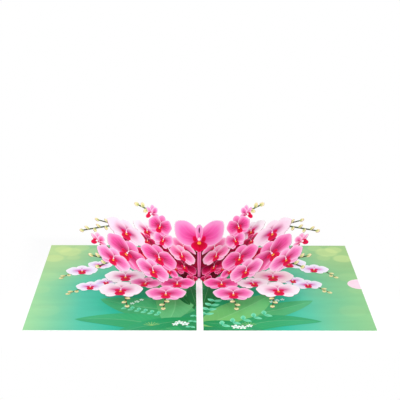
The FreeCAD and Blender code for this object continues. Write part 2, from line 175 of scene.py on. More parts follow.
def startMaterial(name, roughness=0.52, specular=0.35):
    material = bpy.data.materials.new(name)
    material.use_nodes = True
    shader = material.node_tree.nodes["Principled BSDF"]
    shader.inputs["Roughness"].default_value = roughness
    shader.inputs["Specular IOR Level"].default_value = specular
    return material, material.node_tree, shader


def addRelief(tree, shader, height, strength=0.25, distance=0.00004):
    bump = addNode(tree, "ShaderNodeBump", {"Height": height, "Strength": strength, "Distance": distance})
    tree.links.new(bump.outputs[0], shader.inputs["Normal"])


petalInks = {  # heart, body, edge, rim and streak colours, where the paler edge starts, streak width
    "hot": ((176, 2, 74), (236, 76, 156), (250, 158, 207), (255, 222, 238), (170, 0, 66), 0.42, 0.20),
    "rose": ((194, 10, 94), (241, 112, 182), (252, 190, 224), (255, 232, 244), (186, 6, 86), 0.38, 0.20),
    "blush": ((204, 48, 136), (253, 218, 238), (254, 230, 243), (250, 214, 234), (186, 16, 110), 0.45, 0.36),
    "deep": ((128, 0, 20), (198, 2, 78), (238, 84, 148), (254, 192, 220), (116, 0, 18), 0.50, 0.20),
    "pearl": ((220, 70, 152), (252, 236, 248), (255, 247, 253), (255, 252, 255), (204, 36, 126), 0.45, 0.30),
    "lilac": ((222, 130, 206), (240, 230, 252), (248, 243, 255), (255, 253, 255), (206, 84, 168), 0.35, 0.26),
    "shell": ((236, 100, 168), (250, 216, 226), (253, 232, 238), (255, 247, 250), (214, 58, 140), 0.35, 0.34),
    "lip": ((188, 0, 26), (218, 0, 60), (236, 10, 100), (240, 50, 132), (140, 0, 20), 0.60, 0.18),
    "pastel": ((210, 26, 102), (245, 122, 182), (254, 200, 226), (255, 242, 248), (196, 16, 88), 0.35, 0.20),
    "candy": ((226, 40, 134), (246, 104, 188), (249, 168, 220), (255, 218, 240), (206, 20, 108), 0.35, 0.10),
    "column": ((240, 190, 214), (254, 232, 243), (250, 214, 232), (244, 196, 220), (254, 236, 245), 0.5, 0.0),
    "callus": ((238, 92, 40), (252, 190, 70), (250, 150, 70), (240, 110, 60), (238, 92, 40), 0.5, 0.0),
    "bud": ((150, 168, 92), (232, 230, 160), (246, 222, 184), (214, 208, 150), (176, 186, 104), 0.3, 0.2),
    "blossom": ((150, 222, 190), (246, 255, 250), (255, 255, 255), (255, 255, 255), (170, 230, 200),
                0.4, 0.1),
    "mint": ((70, 190, 146), (110, 216, 172), (146, 230, 190), (150, 230, 190), (60, 180, 136), 0.5, 0.06),
}


def petalMaterial(name, palette, wash=0.0):
    material, tree, shader = startMaterial(name, 0.6, 0.15)
    colours = [ink(*colour) for colour in palette[:5]]
    paper = ink(255, 240, 247)
    pale = [tuple(c + (p - c) * wash for c, p in zip(colour, paper)) for colour in colours]
    values = dict(zip(("Heart", "Body", "Edge", "Rim", "Streak"), pale))
    values.update({"PaleFrom": palette[5], "StreakWidth": palette[6], "Veins": 0.34, "RimFrom": 0.955})
    prints = addNode(tree, "ShaderNodeGroup", node_tree=petalPrint)
    for label, value in values.items():
        prints.inputs[label].default_value = value
    tree.links.new(prints.outputs["Colour"], shader.inputs["Base Color"])
    addRelief(tree, shader, prints.outputs["Height"])
    return material


def grainedMaterial(name, dark, light, roughness=0.55):  # plain card, stems: two near tones in a soft mottle
    material, tree, shader = startMaterial(name, roughness)
    grain = addNode(tree, "ShaderNodeGroup", node_tree=paperGrain)
    colour = mixInk(tree, grain.outputs["Mottle"], ink(*dark), ink(*light))
    tree.links.new(colour, shader.inputs["Base Color"])
    addRelief(tree, shader, grain.outputs["Height"])
    return material


def rootPrintAndShadeMaterial():  # the deep magenta print of the panels between the flowers, with painted shade that darkens them low by the spine
    material, tree, shader = startMaterial("rootPanelsPrintAndShade", 0.6, 0.08)
    place = addNode(tree, "ShaderNodeTexCoord").outputs["Object"]
    spot = addNode(tree, "ShaderNodeSeparateXYZ", {0: place})
    blotch = addNode(tree, "ShaderNodeTexNoise", {"Vector": place, "Scale": 70.0, "Detail": 2.0})
    # painted shade: darker low down by the spine, standing in for the shade the layers above cast there; the
    # noise blotches are print
    high = ease(tree, spot.outputs["Z"], 0.004, 0.045)
    share = calc(tree, "ADD", calc(tree, "MULTIPLY", high, 0.7),
                 ease(tree, blotch.outputs["Fac"], 0.38, 0.66, 0.0, 0.45))
    colour = mixInk(tree, share, ink(64, 0, 10), ink(180, 0, 62))
    tree.links.new(colour, shader.inputs["Base Color"])
    addRelief(tree, shader, blotch.outputs["Fac"])
    return material


# leaf tones from dark to pale: place on the ramp, colour
leafInks = ((0.0, (0, 100, 40)), (0.3, (16, 146, 80)), (0.55, (48, 166, 98)), (0.8, (88, 172, 104)),
            (1.0, (116, 190, 104)))


def leafMaterial():  # leaf silhouettes on the pages: one half darker, a pale midrib, lighter to the tip
    material, tree, shader = startMaterial("leafPrint", 0.5, 0.12)
    spot = addNode(tree, "ShaderNodeSeparateXYZ",
                   {0: addNode(tree, "ShaderNodeUVMap", uv_map="petal").outputs[0]})
    tone = addNode(tree, "ShaderNodeAttribute", attribute_name="tone").outputs["Fac"]
    colour = colourRamp(tree, tone, leafInks)
    tip = calc(tree, "MULTIPLY", ease(tree, spot.outputs["X"], -1.0, 1.0, 0.0, 0.26),
               ease(tree, tone, 0.0, 0.3, 0.2, 1.0))
    colour = mixInk(tree, tip, colour, ink(96, 206, 170))
    half = ease(tree, spot.outputs["Y"], -0.04, 0.04, 0.0, 0.16)
    colour = mixInk(tree, half, colour, ink(10, 120, 70))
    rib = ease(tree, calc(tree, "ABSOLUTE", spot.outputs["Y"]), 0.06, 0.0, 0.0, 0.28)
    colour = mixInk(tree, rib, colour, ink(168, 224, 170))
    slant = calc(tree, "SUBTRACT", spot.outputs["X"],
                 calc(tree, "MULTIPLY", calc(tree, "ABSOLUTE", spot.outputs["Y"]), 0.35))
    wave = calc(tree, "ABSOLUTE", calc(tree, "SINE", calc(tree, "MULTIPLY", slant, 22.0)))
    colour = mixInk(tree, ease(tree, wave, 0.18, 0.0, 0.0, 0.10), colour, ink(176, 226, 180))
    grain = addNode(tree, "ShaderNodeGroup", node_tree=paperGrain)
    mottle = calc(tree, "ADD", calc(tree, "MULTIPLY", grain.outputs["Mottle"], 0.14), 0.93)
    tree.links.new(mixInk(tree, 1.0, colour, mottle, "MULTIPLY"), shader.inputs["Base Color"])
    addRelief(tree, shader, grain.outputs["Height"])
    return material


pageLights = [  # soft discs of light in the far corners: distance out, distance back, radius, strength
    (131, 81, 13, 0.34), (120, 92, 9, 0.20), (145, 64, 11, 0.34), (104, 84, 10, 0.12), (139, 88, 10, 0.30),
    (126, 66, 8, 0.16), (144, 16, 12, 0.08), (137, -60, 14, 0.05), (147, -14, 9, 0.06),
]


# the page from the spine to its outer edge: share of the width, colour
pageInks = ((0.0, (22, 138, 80)), (0.28, (40, 168, 116)), (0.50, (48, 186, 156)), (0.68, (84, 198, 168)),
            (0.84, (126, 206, 162)), (1.0, (160, 218, 160)))


def pageMaterial():  # green over teal, yellow-green to the outer corners, white paper at the cut edges
    material, tree, shader = startMaterial("pagePrint", 0.5, 0.15)
    place = addNode(tree, "ShaderNodeTexCoord").outputs["Object"]
    spot = addNode(tree, "ShaderNodeSeparateXYZ", {0: place})
    out = calc(tree, "ABSOLUTE", spot.outputs["X"])
    drift = addNode(tree, "ShaderNodeTexNoise", {"Vector": place, "Scale": 14.0, "Detail": 1.0})
    share = calc(tree, "ADD", calc(tree, "DIVIDE", out, pageOuter * mm),
                 calc(tree, "MULTIPLY", calc(tree, "SUBTRACT", drift.outputs["Fac"], 0.5), 0.22))
    colour = colourRamp(tree, share, pageInks)
    back = ease(tree, spot.outputs["Y"], -0.01, 0.085)
    colour = mixInk(tree, calc(tree, "MULTIPLY", back, 0.75), colour, ink(122, 190, 146))
    corner = calc(tree, "MULTIPLY", back, ease(tree, out, 0.075, 0.15))
    colour = mixInk(tree, calc(tree, "MULTIPLY", corner, 0.85), colour, ink(194, 222, 152))
    rightPage = ease(tree, spot.outputs["X"], -0.01, 0.01, 0.0, 0.42)
    colour = mixInk(tree, calc(tree, "MULTIPLY", rightPage, ease(tree, out, 0.07, 0.15)), colour,
                    ink(118, 176, 108))
    for outward, backward, radius, strength in pageLights:
        here = addNode(tree, "ShaderNodeCombineXYZ", {0: out, 1: spot.outputs["Y"], 2: 0.0})
        middle = (outward * mm, backward * mm, 0)
        gap = addNode(tree, "ShaderNodeVectorMath", {0: here.outputs[0], 1: middle}, operation="DISTANCE")
        disc = ease(tree, gap.outputs["Value"], radius * mm, radius * mm * 0.7, 0.0, strength)
        colour = mixInk(tree, disc, colour, ink(222, 238, 158))
    stretched = addNode(tree, "ShaderNodeVectorMath", {0: place, 1: (0.35, 1.8, 1.0)},
                        operation="MULTIPLY").outputs[0]
    brush = addNode(tree, "ShaderNodeTexNoise", {"Vector": stretched, "Scale": 42.0, "Detail": 4.0})
    strokes = ease(tree, brush.outputs["Fac"], 0.32, 0.68, 0.965, 1.03)
    colour = mixInk(tree, 1.0, colour, strokes, "MULTIPLY")
    grain = addNode(tree, "ShaderNodeGroup", node_tree=paperGrain)
    printed = ease(tree, spot.outputs["Z"], (pageTop - 0.02) * mm, (pageTop - 0.01) * mm)
    colour = mixInk(tree, printed, ink(250, 250, 248), colour)
    tree.links.new(colour, shader.inputs["Base Color"])
    addRelief(tree, shader, grain.outputs["Height"])
    return material


coverBands = {"edge": (0.02, 0.06), "inside": (0.20, 0.24)}  # heights where one colour turns into the next


def coverMaterial():  # white inside, a pale pink wash outside, and grey cut edges as a painted shadow line
    material, tree, shader = startMaterial("coverCard", 0.5)
    spot = addNode(tree, "ShaderNodeSeparateXYZ",
                   {0: addNode(tree, "ShaderNodeTexCoord").outputs["Object"]})
    grain = addNode(tree, "ShaderNodeGroup", node_tree=paperGrain)
    inside = mixInk(tree, grain.outputs["Mottle"], ink(248, 247, 248), ink(255, 254, 255))
    outside = mixInk(tree, grain.outputs["Mottle"], ink(246, 218, 234), ink(252, 232, 243))
    # painted shadow: the grey on the cut edges stands for the thin shadow line along the cover's edge
    edge = ease(tree, spot.outputs["Z"], *[height * mm for height in coverBands["edge"]])
    colour = mixInk(tree, edge, outside, ink(168, 152, 162))
    top = ease(tree, spot.outputs["Z"], *[height * mm for height in coverBands["inside"]])
    tree.links.new(mixInk(tree, top, colour, inside), shader.inputs["Base Color"])
    addRelief(tree, shader, grain.outputs["Height"])
    return material


inks = {name: petalMaterial(name + "Print", palette) for name, palette in petalInks.items()}
washed = ("hot", "rose", "blush", "deep", "pearl", "pastel", "candy", "shell", "lip")
reverses = {name: petalMaterial(name + "Reverse", petalInks[name], 0.45) for name in washed}
inks["stem"] = grainedMaterial("stemPrint", (30, 60, 26), (66, 96, 44))
inks["thread"] = grainedMaterial("threadPrint", (124, 196, 104), (166, 214, 126))
inks["root"] = rootPrintAndShadeMaterial()
inks["leaf"] = leafMaterial()
inks["pinkStem"] = grainedMaterial("pinkStemPrint", (236, 96, 166), (252, 150, 202))
# painted shade: a dark strip down the centre orchid's crease, for the shade in the valley between its halves
inks["slit"] = grainedMaterial("slitPrint", (96, 20, 60), (130, 34, 84))
# painted shadow: every sheet's cut edges are a dark pink, giving a thin shade line under the petals' edges in
# place of the card's white core
cutEdgeShadow = grainedMaterial("cutEdgeShadow", (128, 44, 72), (164, 74, 102))
print("materials made:", len(bpy.data.materials))


# Flat printed shapes: each is a face drawn in its sheet's plane, and a Solidify modifier gives the card

def startSheet():
    bm = bmesh.new()
    return {"bm": bm, "uv": bm.loops.layers.uv.new("petal"), "edge": bm.verts.layers.float.new("edge"),
            "tone": bm.verts.layers.float.new("tone"), "used": []}


def inkFaces(sheet, verts, name):  # gives a new shape its ink and returns its faces
    if name not in sheet["used"]:
        sheet["used"].append(name)
    faces = {face for vert in verts for face in vert.link_faces}
    for face in faces:
        face.material_index = sheet["used"].index(name)
    return faces


petalForm = {"segments": 32, "waves": 5}


def addPetal(sheet, place, name, length, halfWidth, level, tone=0.0, swell=0.2, point=0.0,
             notch=0.0, bend=0.0, ruffle=0.0):
    # A fan of faces, its rim shaped from base to tip.
    # The petal print reads where each point was on the circle.
    bm = sheet["bm"]
    made = bmesh.ops.create_circle(bm, cap_ends=True, cap_tris=True,
                                   segments=petalForm["segments"], radius=1.0)
    spots = {}
    for vert in made["verts"]:
        along, across = vert.co.x, vert.co.y
        reach = min(1.0, vert.co.xy.length)
        spots[vert] = (along, across)
        vert[sheet["edge"]] = reach
        vert[sheet["tone"]] = tone
        wave = 1.0 + ruffle * reach * sin(petalForm["waves"] * atan2(across, along) + 1.3 * length)
        forward = max(along, 0.0)
        x = length * (0.5 + 0.5 * along * wave) - notch * length * exp(-(across / 0.35) ** 2) * forward
        y = halfWidth * across * wave * (1.0 + swell * along) * (1.0 - point * forward ** 3)
        turn = bend * x / length
        spot = place @ Vector((x * cos(turn) - y * sin(turn), x * sin(turn) + y * cos(turn), 0.0))
        vert.co = (spot.x, spot.y, level)
    for face in inkFaces(sheet, made["verts"], name):
        for loop in face.loops:
            loop[sheet["uv"]].uv = spots[loop.vert]


def addStrip(sheet, start, end, width, level, name, bow=0.0, taper=1.0, steps=8):
    bm = sheet["bm"]
    run = Vector(end) - Vector(start)
    side = Vector((-run.y, run.x)).normalized()
    made = bmesh.ops.create_grid(bm, x_segments=steps, y_segments=1, size=0.5)
    for vert in made["verts"]:
        share, across = vert.co.x + 0.5, vert.co.y
        wide = width * (1.0 + (taper - 1.0) * share)
        spot = Vector(start) + run * share + side * (across * wide + bow * sin(pi * share))
        vert.co = (spot.x, spot.y, level)
        vert[sheet["edge"]] = 0.5
    inkFaces(sheet, made["verts"], name)


def addPanel(sheet, points, level, name):
    bm = sheet["bm"]
    corners = [bm.verts.new((x, y, level)) for x, y in points]
    bmesh.ops.contextual_create(bm, geom=corners)
    for face in inkFaces(sheet, corners, name):
        face.normal_update()
        if face.normal.z < 0:
            face.normal_flip()


def flowerPlace(centre, radius, turn, height=1.0):
    return (Matrix.Translation((centre[0], centre[1], 0)) @ Matrix.Rotation(radians(turn), 4, "Z")
            @ Matrix.Diagonal((radius, radius * height, radius, 1)))


def petalPlace(flower, base, direction):
    return flower @ Matrix.Translation((base[0], base[1], 0)) @ Matrix.Rotation(radians(direction), 4, "Z")


# The orchid, one unit from its centre to a petal's tip: base, direction, length, half width and shape
orchidForm = {
    "dorsal": {"base": (0, 0.02), "direction": 90, "length": 0.97, "halfWidth": 0.37, "swell": 0.14,
               "point": 0.12},
    "sepal": {"base": (-0.04, 0.0), "direction": 227, "length": 0.86, "halfWidth": 0.28, "swell": 0.14,
              "point": 0.12},
    "petal": {"base": (0.0, 0.03), "direction": 170, "length": 1.08, "halfWidth": 0.60, "swell": 0.12,
              "point": 0.30, "ruffle": 0.03},
    "sideLobe": {"base": (0.02, -0.08), "direction": 158, "length": 0.32, "halfWidth": 0.12, "swell": 0.3},
    "midLobe": {"base": (0, 0.0), "direction": 270, "length": 0.57, "halfWidth": 0.25, "swell": 0.22,
                "notch": 0.08},
    "column": {"base": (0, 0.10), "direction": 270, "length": 0.14, "halfWidth": 0.042, "swell": 0.2},
    "callus": {"base": (0, -0.05), "direction": 270, "length": 0.14, "halfWidth": 0.065, "swell": 0.1},
    "petalStep": 0.02, "rankStep": 0.16, "sepalTone": 0.45,
}


def addPart(sheet, flower, part, name, level, hand=-1, tone=0.0):
    form = dict(orchidForm[part])
    base = form.pop("base")
    direction = form.pop("direction")
    if hand > 0:
        base = (-base[0], base[1])
        direction = 180 - direction
    addPetal(sheet, petalPlace(flower, base, direction), name, level=level, tone=tone, **form)


def addOrchid(sheet, centre, radius, turn, name, level, height=1.0):
    flower = flowerPlace(centre, radius, turn, height)
    step = orchidForm["petalStep"]
    tone = orchidForm["sepalTone"]
    addPart(sheet, flower, "dorsal", name, level, tone=tone)
    for hand in (-1, 1):
        addPart(sheet, flower, "sepal", name, level + step * (1.5 + 0.5 * hand), hand, tone)
        addPart(sheet, flower, "petal", name, level + step * (3.5 + 0.5 * hand), hand)
        addPart(sheet, flower, "sideLobe", "lip", level + step * 5, hand)
    addPart(sheet, flower, "midLobe", "lip", level + step * 6)
    addPart(sheet, flower, "callus", "callus", level + step * 7)
    addPart(sheet, flower, "column", "column", level + step * 8)


sideForm = [  # an orchid from the side: base, direction, length, half width, ink, tone
    ((0.06, -0.12), 68, 1.06, 0.28, None, 0.3),
    ((0.04, -0.12), 38, 0.87, 0.32, None, 0.0),
    ((-0.02, -0.10), 98, 1.00, 0.20, None, 0.5),
    ((0.02, -0.06), -44, 0.66, 0.22, None, 0.5),
    ((-0.12, 0.10), 188, 0.64, 0.21, "lip", 0.0),
    ((-0.10, 0.16), 158, 0.34, 0.13, "lip", 0.0),
    ((0.00, 0.14), 200, 0.26, 0.09, "column", 0.0),
]


def addSideOrchid(sheet, centre, radius, turn, name, level, height=1.0):
    flower = flowerPlace(centre, radius, turn, height)
    for order, (base, direction, length, halfWidth, own, tone) in enumerate(sideForm):
        addPetal(sheet, petalPlace(flower, base, direction), own or name, length, halfWidth,
                 level + order * orchidForm["petalStep"], tone=tone, swell=0.1, point=0.2)


budForm = {"length": 5.2, "halfWidth": 2.0, "stemWidth": 1.5, "spread": 48.0}


def addBud(sheet, foot, direction, level):
    place = Matrix.Translation((foot[0], foot[1], 0)) @ Matrix.Rotation(radians(direction), 4, "Z")
    addPetal(sheet, place, "bud", budForm["length"], budForm["halfWidth"], level, swell=-0.05, point=0.2)


def addSprig(sheet, start, end, buds, level):
    addStrip(sheet, start, end, budForm["stemWidth"], level, "stem", taper=0.8)
    run = Vector(end) - Vector(start)
    direction = degrees(atan2(run.y, run.x))
    for number in range(buds):
        share = 1.0 - number / buds
        spread = budForm["spread"] * (-1) ** number if number else 0.0
        foot = Vector(start) + run * share
        addBud(sheet, foot, direction + spread, level + 0.02)


def mirrorAcross(sheet):
    bm = sheet["bm"]
    copies = bmesh.ops.duplicate(bm, geom=bm.verts[:] + bm.edges[:] + bm.faces[:])["geom"]
    verts = [item for item in copies if isinstance(item, bmesh.types.BMVert)]
    faces = [item for item in copies if isinstance(item, bmesh.types.BMFace)]
    bmesh.ops.scale(bm, vec=(-1, 1, 1), verts=verts)
    bmesh.ops.reverse_faces(bm, faces=faces)


def handed(name, side):
    return name + ("Left" if side < 0 else "Right")


def turnToRight(sheet):  # a left piece becomes its mirror image
    bm = sheet["bm"]
    bmesh.ops.scale(bm, vec=(-1, 1, 1), verts=bm.verts[:])
    bmesh.ops.reverse_faces(bm, faces=bm.faces[:])


def trimAtCrease(sheet):
    bm = sheet["bm"]
    for point, normal in (((0, 0, 0), (1, 0, 0)), ((0, 0, pageTop * mm), (0, 0, -1))):
        bmesh.ops.bisect_plane(bm, geom=bm.verts[:] + bm.edges[:] + bm.faces[:], dist=1e-8,
                               plane_co=point, plane_no=normal, clear_outer=True)


def weldCrease(sheet):
    bm = sheet["bm"]
    onCrease = [vert for vert in bm.verts if abs(vert.co.x) < 1e-6]
    bmesh.ops.remove_doubles(bm, verts=onCrease, dist=1e-6)


def placeSheet(sheet, matrix):
    bm = sheet["bm"]
    bmesh.ops.transform(bm, matrix=Matrix.Scale(mm, 4) @ matrix, verts=bm.verts[:])


def finishSheet(sheet, name, nodes=(), thickness=0.3):
    mesh = bpy.data.meshes.new(name)
    sheet["bm"].to_mesh(mesh)
    sheet["bm"].free()
    piece = bpy.data.objects.new(name, mesh)
    bpy.context.scene.collection.objects.link(piece)
    for used in sheet["used"]:
        mesh.materials.append(inks[used])
    for used in sheet["used"]:
        mesh.materials.append(reverses.get(used, inks[used]))
    # the last slot is the painted shadow on the cut edges
    mesh.materials.append(cutEdgeShadow)
    card = piece.modifiers.new("card", "SOLIDIFY")
    card.thickness = thickness * mm
    card.offset = -1.0
    card.material_offset = len(sheet["used"])
    card.material_offset_rim = 2 * len(sheet["used"])
    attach(piece, "root")
    if nodes:
        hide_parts(*nodes)
    print("made", name, "from", len(mesh.polygons), "faces")
    return piece


def addFlowers(sheet, flowers, top, height):
    for centre, radius, turn, name, rank, kind in flowers:
        make = addSideOrchid if kind == "side" else addOrchid
        make(sheet, centre, radius, turn, name, top + rank * orchidForm["rankStep"], height)


# The sheets stand in planes that rise outwards and lean back from the spine

tilt = {
    "apexBack": 16.0, "rise": 37.7, "lean": 18.3, "thick": 0.3, "rootLevel": 0.25, "armLevel": 0.26,
    "flowerHeight": 0.86,
}


def wingFrame(lift=0.0):
    return (Matrix.Translation((0, tilt["apexBack"], pageTop))
            @ Matrix.Rotation(radians(tilt["lean"]), 4, "X")
            @ Matrix.Rotation(radians(tilt["rise"]), 4, "Y")
            @ Matrix.Translation((0, 0, lift)))


wings = {
    # centre from the apex, radius, turn, ink, rank in the overlap, view
    "flowers": [
        ((-84.2, -26.0), 22.9, -21, "hot", 1, "front"),
        ((-98.2, -44.0), 16.9, -4, "rose", 2, "front"),
        ((-115.0, -31.5), 13.0, 45, "pastel", 0, "side"),
        ((-19.8, 29.3), 14.4, 1, "pastel", 1, "front"),
        ((-18.3, 2.0), 14.6, 13, "deep", 1, "front"),
        ((-35.5, 23.0), 9.5, 4, "rose", 0, "front"),
        ((-38.0, 8.5), 9.5, 10, "deep", 0, "front"),
        ((-65.0, -14.0), 9.5, -8, "deep", 0, "front"),
        ((-28.0, -7.0), 9.0, 6, "deep", 0, "front"),
        ((-8.0, 15.0), 9.0, 10, "deep", 0, "front"),
        ((-7.0, -9.0), 8.0, 24, "deep", 0, "front"),
    ],
    "root": [(2, -4), (2, 34), (-8, 39), (-18, 36.3), (-28, 32), (-37.5, 26.6), (-46, 20), (-51, 15.8),
             (-54, 10), (-55.8, 4), (-56, -2), (-51.4, -6.2), (-46, -9), (-40, -10.6), (-34, -11),
             (-12, -12), (-9, -17), (-2, -17)],
    "arms": [((-44, -4), (-84, -26), 12), ((-100, -36), (-113, -32), 6)],
    "sprigs": [((-99, -46), (-119, -54), 3), ((-99, -47), (-112, -63), 2)],
    "footLength": 17.0, "footWidth": 6.0, "footInset": 2.9,
}


def makeWings():
    sheet = startSheet()
    thick = tilt["thick"]
    addPanel(sheet, wings["root"], tilt["rootLevel"], "root")
    for arm in wings["arms"]:
        addStrip(sheet, *arm, tilt["armLevel"], "root")
    addFlowers(sheet, wings["flowers"], thick, tilt["flowerHeight"])
    for sprig in wings["sprigs"]:
        addSprig(sheet, *sprig, thick)
    placeSheet(sheet, wingFrame())
    trimAtCrease(sheet)
    mirrorAcross(sheet)
    weldCrease(sheet)
    return finishSheet(sheet, "wingSheet", ["wings"])


def makeFeet():  # the wings' glued feet, flat on the pages
    sheet = startSheet()
    slope = sin(radians(tilt["lean"])) / (sin(radians(tilt["rise"])) / cos(radians(tilt["rise"])))
    near = tilt["apexBack"] - wings["footLength"]
    far = tilt["apexBack"] - wings["footInset"] / slope
    inner = [(-slope * (tilt["apexBack"] - y), y) for y in (far, near)]
    outer = [(x - wings["footWidth"], y) for x, y in reversed(inner)]
    addPanel(sheet, inner + outer, pageTop + tilt["thick"], "root")
    placeSheet(sheet, Matrix.Identity(4))
    mirrorAcross(sheet)
    return finishSheet(sheet, "wingFeet", ["wings"])


layers = {
    "frontSprayCard": {
        "node": "front_spray", "lift": 4.0, "root": [(0, 6), (0, 24), (-20, 24), (-16, 4)],
        "arm": ((-51, -12), (-24.5, 10.6), 9), "sprigs": [],
        "flowers": [
            ((-51.0, -12.0), 19.6, 10, "hot", 1, "front"),
            ((-57.3, -35.1), 17.5, 12, "rose", 2, "front"),
            ((-24.5, 10.6), 15.6, 10, "pastel", 2, "front"),
            ((-38.5, -22.0), 9.5, -9, "hot", 0, "front"),
        ],
    },
    "backSprayCard": {
        "node": "back_spray", "lift": -5.0,
        "root": [(6, 22), (6, 38), (-25, 44), (-45, 36), (-50, 14), (-35, 8), (-12, 16)],
        "arm": ((-84, 6), (-84, -24), 12),
        "sprigs": [((-100, 8), (-129, -21), 5), ((-94, 13), (-114, 5), 2)],
        "flowers": [
            ((-83.5, 9.5), 20.5, 1, "blush", 1, "front"),
            ((-60.0, 30.0), 15.5, 2, "pearl", 0, "front"),
            ((-59.3, 15.5), 11.0, -2, "deep", 1, "front"),
        ],
    },
}


def makeLayer(name):
    layer = layers[name]
    sheet = startSheet()
    thick = tilt["thick"]
    addPanel(sheet, layer["root"], tilt["rootLevel"], "root")
    addStrip(sheet, *layer["arm"], tilt["armLevel"], "root")
    addFlowers(sheet, layer["flowers"], thick, tilt["flowerHeight"])
    for sprig in layer["sprigs"]:
        addSprig(sheet, *sprig, thick)
    placeSheet(sheet, wingFrame(layer["lift"]))
    trimAtCrease(sheet)
    mirrorAcross(sheet)
    weldCrease(sheet)
    return finishSheet(sheet, name, [layer["node"]])


upright = {
    "out": 46.0, "along": 5.0, "turn": 7.6, "fold": 37.4, "footWidth": 12.0, "footHeight": 9.0,
    "tabWidth": 5.0, "flowerHeight": 1.0, "sprig": ((-27.0, 27.5), (-41.5, 25.2), 3),
    "flowers": [
        ((-4.0, 10.2), 10.0, 8, "rose", 1, "front"),
        ((-13.5, 19.5), 11.5, 13, "hot", 2, "front"),
        ((-26.0, 25.5), 9.5, 60, "rose", 1, "side"),
    ],
}


def makeUpright(side, node):
    sheet = startSheet()
    thick = tilt["thick"]
    foot = Matrix.Translation((-upright["out"], upright["along"], 0)) @ Matrix.Rotation(
        radians(-upright["turn"]), 4, "Z")
    half = upright["footWidth"] / 2
    addStrip(sheet, (0, 0), (0, upright["footHeight"]), upright["footWidth"], thick, "root", steps=1)
    addFlowers(sheet, upright["flowers"], thick + 0.03, upright["flowerHeight"])
    addSprig(sheet, *upright["sprig"], thick)
    bm = sheet["bm"]
    bmesh.ops.transform(bm, matrix=Matrix.Rotation(radians(upright["fold"]), 4, "X"), verts=bm.verts[:])
    near = -upright["tabWidth"]
    addPanel(sheet, [(-half, near), (half, near), (half, 0), (-half, 0)], thick, "root")
    placeSheet(sheet, wingFrame(thick) @ foot)
    if side > 0:
        turnToRight(sheet)
    return finishSheet(sheet, handed("uprightSpray", side), [node])


low = {
    "height": 9.0, "flowerHeight": 1.08,
    "flowers": [
        ((-69.5, -4.5), 18.0, 3, "pearl", 0, "front"),
        ((-50.0, -20.5), 13.5, -12, "rose", 1, "front"),
        ((-72.0, -37.0), 18.7, -2, "pearl", 2, "front"),
        ((-30.6, -44.8), 17.1, 0, "rose", 2, "front"),
        ((-20.6, -21.0), 15.6, 0, "hot", 1, "front"),
    ],
    "rightInks": ["shell", "pearl", "pearl", "rose", "hot"],
    "joined": [(0, 1), (1, 2), (1, 4), (4, 3)], "branchWidth": 6.0,
    "sprigs": [((-68.0, -44.0), (-64.5, -68.0), 3), ((-30.6, -51.0), (-32.0, -73.0), 3)],
}


def makeLow(side, node):
    sheet = startSheet()
    thick = tilt["thick"]
    flowers = low["flowers"]
    for start, end in low["joined"]:
        addStrip(sheet, flowers[start][0], flowers[end][0], low["branchWidth"], tilt["armLevel"], "root")
    if side > 0:
        flowers = [row[:3] + (name,) + row[4:] for row, name in zip(flowers, low["rightInks"])]
    addFlowers(sheet, flowers, thick, low["flowerHeight"])
    for sprig in low["sprigs"]:
        addSprig(sheet, *sprig, thick)
    placeSheet(sheet, Matrix.Translation((0, 0, pageTop + low["height"])))
    if side > 0:
        turnToRight(sheet)
    return finishSheet(sheet, handed("lowSpray", side), [node])


centre = {
    "lean": 6.0, "open": 25.0, "height": 39.0, "span": 27.0,
    "stem": [(0.5, 0.0), (0.5, 30.0), (-1.96, 28.0), (-1.96, 17.5), (-1.4, 0.0)],
    "slit": ((0, 0.5), (0, 28), 0.7),
    # in spans from the heart, back to front: base, direction, ink, length, half width, shape
    "petals": [
        ((0.02, -0.06), 161, "candy", 1.20, 0.38, {"swell": 0.02, "point": 0.42, "bend": -0.34}),
        ((0.0, -0.10), 90, "candy", 0.60, 0.14, {"tone": 1.0, "swell": 0.25}),
        # a thin line of the painted crease shade above the heart
        ((0.0, 0.17), 90, "slit", 0.23, 0.035, {}),
        ((-0.09, -0.22), 113, "lip", 0.36, 0.075, {"swell": 0.3}),
        ((0.0, -0.09), 270, "lip", 0.43, 0.30, {"swell": -0.52, "point": 0.6}),
        ((0.0, -0.09), 270, "callus", 0.14, 0.08, {}),
        ((0.0, 0.04), 270, "column", 0.13, 0.065, {}),
    ],
}


def makeCentre():
    sheet = startSheet()
    thick = tilt["thick"]
    step = orchidForm["petalStep"]
    heart = Matrix.Translation((0, centre["height"], 0)) @ Matrix.Scale(centre["span"], 4)
    addPanel(sheet, centre["stem"], thick, "pinkStem")
    # the dark strip on the crease is painted shade
    addStrip(sheet, *centre["slit"], thick + step / 2, "slit")
    for order, (base, direction, name, length, halfWidth, form) in enumerate(centre["petals"], start=1):
        addPetal(sheet, petalPlace(heart, base, direction), name, length, halfWidth,
                 thick + order * step, **form)
    placeSheet(sheet, Matrix.Translation((0, tilt["apexBack"], pageTop))
          @ Matrix.Rotation(radians(90 - centre["lean"]), 4, "X")
          @ Matrix.Rotation(radians(centre["open"]), 4, "Y"))
    trimAtCrease(sheet)
    mirrorAcross(sheet)
    weldCrease(sheet)
    return finishSheet(sheet, "centreOrchid", ["centre_orchid"])


makeWings()
makeFeet()
for layerName in layers:
    makeLayer(layerName)
for side, hand in ((-1, "left"), (1, "right")):
    makeUpright(side, "upright_spray_" + hand)
    makeLow(side, "low_spray_" + hand)
makeCentre()


# The print on the pages: leaves, sprigs and small orchids, as thin fields of colour

leafForm = {"steps": 18, "rows": 6}


